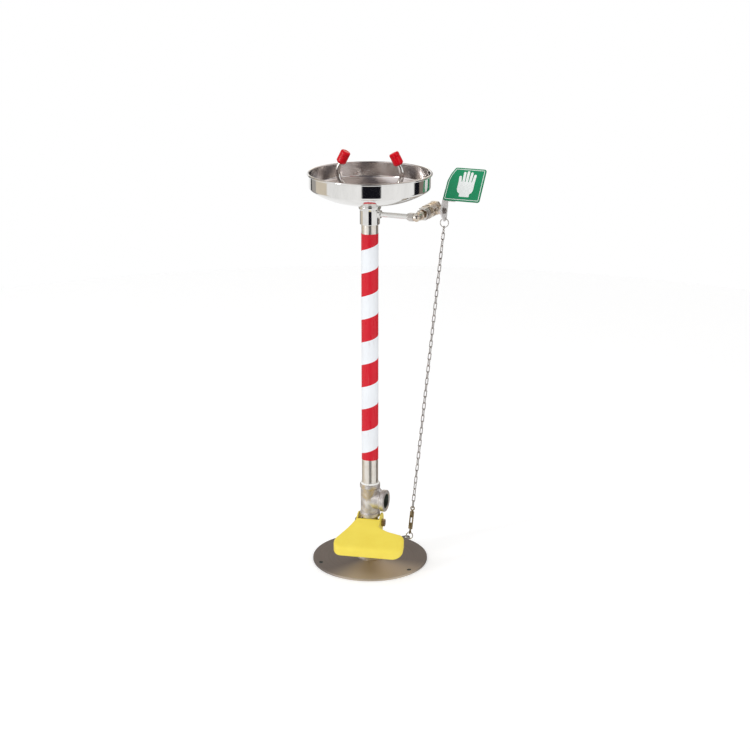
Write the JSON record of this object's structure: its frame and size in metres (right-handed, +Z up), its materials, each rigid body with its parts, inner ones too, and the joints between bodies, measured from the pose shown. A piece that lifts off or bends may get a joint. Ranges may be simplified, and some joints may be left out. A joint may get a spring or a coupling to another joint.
{
  "type": "eyewash station",
  "caption": "Pedestal eyewash station: round bowl with spray heads under flip covers on a striped post, opened by a push sign or a foot pedal with a pull chain.",
  "frame": {"origin": "centre of the base plate's underside, on the floor", "axes": "+Z up along the post, -Y towards the user and the foot pedal, +X towards the waste outlet and the push sign"},
  "size_m": [0.4262, 0.3072, 1.0742],
  "materials": {
    "satin_steel": "satin, fine circular brushing",
    "cast_steel": "cast, tumbled, slightly stained",
    "sealant": "matt white sealant",
    "striped_film": "glossy film, red and white bands",
    "polished_steel": "polished",
    "gasket_rubber": "matt black",
    "red_plastic": "glossy moulded",
    "grey_plastic": "matt moulded",
    "white_plastic": "smooth moulded",
    "nickel_brass": "nickel-plated brass, worn warm grey",
    "bright_steel": "bright stainless",
    "green_enamel": "green enamel",
    "sign_print": "printed label, green with a white border and hand",
    "yellow_paint": "yellow powder coat",
    "dark_steel": "dark mill finish"
  },
  "bodies": {
    "stand": {"base_plate": "satin_steel", "floor_socket": "cast_steel", "riser_nipple": "satin_steel", "riser_plug": "satin_steel", "drain_tee": "cast_steel", "sealant_ring": "sealant", "post_pipe": "satin_steel", "striped_sleeve": "striped_film", "bowl_collar": "polished_steel", "bowl_gasket": "gasket_rubber", "bowl": "polished_steel", "drain_flange": "polished_steel", "drain_strainer": "polished_steel", "supply_riser": "polished_steel", "spray_hub": "polished_steel", "tube_nuts": "polished_steel", "spray_tube_left": "polished_steel", "spray_tube_right": "polished_steel", "spray_body_left": "red_plastic", "spray_body_right": "red_plastic", "flow_regulators": "grey_plastic", "screen_packs": "grey_plastic", "spray_discs": "white_plastic", "cover_pins": "bright_steel", "supply_pipe": "polished_steel", "pipe_nut": "nickel_brass", "elbow": "nickel_brass", "union_tail": "nickel_brass", "union_nut": "nickel_brass", "valve_body": "nickel_brass", "valve_end": "nickel_brass", "ball_seats": "white_plastic", "stem_packing": "white_plastic", "gland_nut": "nickel_brass", "hinge_bolt": "bright_steel", "hinge_spacers": "bright_steel", "hinge_washers": "bright_steel", "hinge_nut": "bright_steel"},
    "handle": {"ball": "bright_steel", "stem": "bright_steel", "lever_plate": "satin_steel", "lever_washer": "bright_steel", "stem_nut": "bright_steel", "sign_plate": "green_enamel", "sign_label": "sign_print", "sign_rivets": "bright_steel"},
    "chain": {"pull_ring": "bright_steel", "chain": "bright_steel", "turnbuckle_upper_eye": "nickel_brass", "turnbuckle_lower_eye": "nickel_brass", "lower_ring": "bright_steel"},
    "turnbuckle": {"turnbuckle_body": "nickel_brass"},
    "pedal": {"pedal": "yellow_paint", "pedal_arm": "dark_steel", "hinge_bushes": "white_plastic"},
    "cover_left": {"dust_cover_left": "red_plastic"},
    "cover_right": {"dust_cover_right": "red_plastic"}
  },
  "joints": [
    {"name": "handle_turn", "type": "hinge", "parent": "stand", "child": "handle", "pos_m": [0.13982, 0.07469, 0.918], "axis": [-0.9816, 0.1908, 0], "range_deg": [0, 48]},
    {"name": "chain_turn", "type": "hinge", "parent": "handle", "child": "chain", "pos_m": [0.1727, 0.08664, 0.896], "axis": [0.9816, -0.1908, 0], "range_deg": [0, 50.5]},
    {"name": "turnbuckle_turn", "type": "hinge", "parent": "chain", "child": "turnbuckle", "pos_m": [0.11622, -0.03873, 0.1333], "axis": [0.0729, 0.1618, 0.9841], "continuous": true},
    {"name": "pedal_turn", "type": "hinge", "parent": "stand", "child": "pedal", "pos_m": [0, 0, 0.102], "axis": [1, 0, 0], "range_deg": [0, 14]},
    {"name": "cover_left_flip", "type": "hinge", "parent": "stand", "child": "cover_left", "pos_m": [-0.06261, 0.0146, 1.06129], "axis": [-0.891, 0, 0.454], "range_deg": [0, 115]},
    {"name": "cover_right_flip", "type": "hinge", "parent": "stand", "child": "cover_right", "pos_m": [0.06261, 0.0146, 1.06129], "axis": [-0.891, 0, -0.454], "range_deg": [0, 115]}
  ],
  "couplings": [
    {"joint": "chain_turn", "follows": "handle_turn", "ratio": 1.0405},
    {"joint": "pedal_turn", "follows": "handle_turn", "ratio": 0.285}
  ]
}
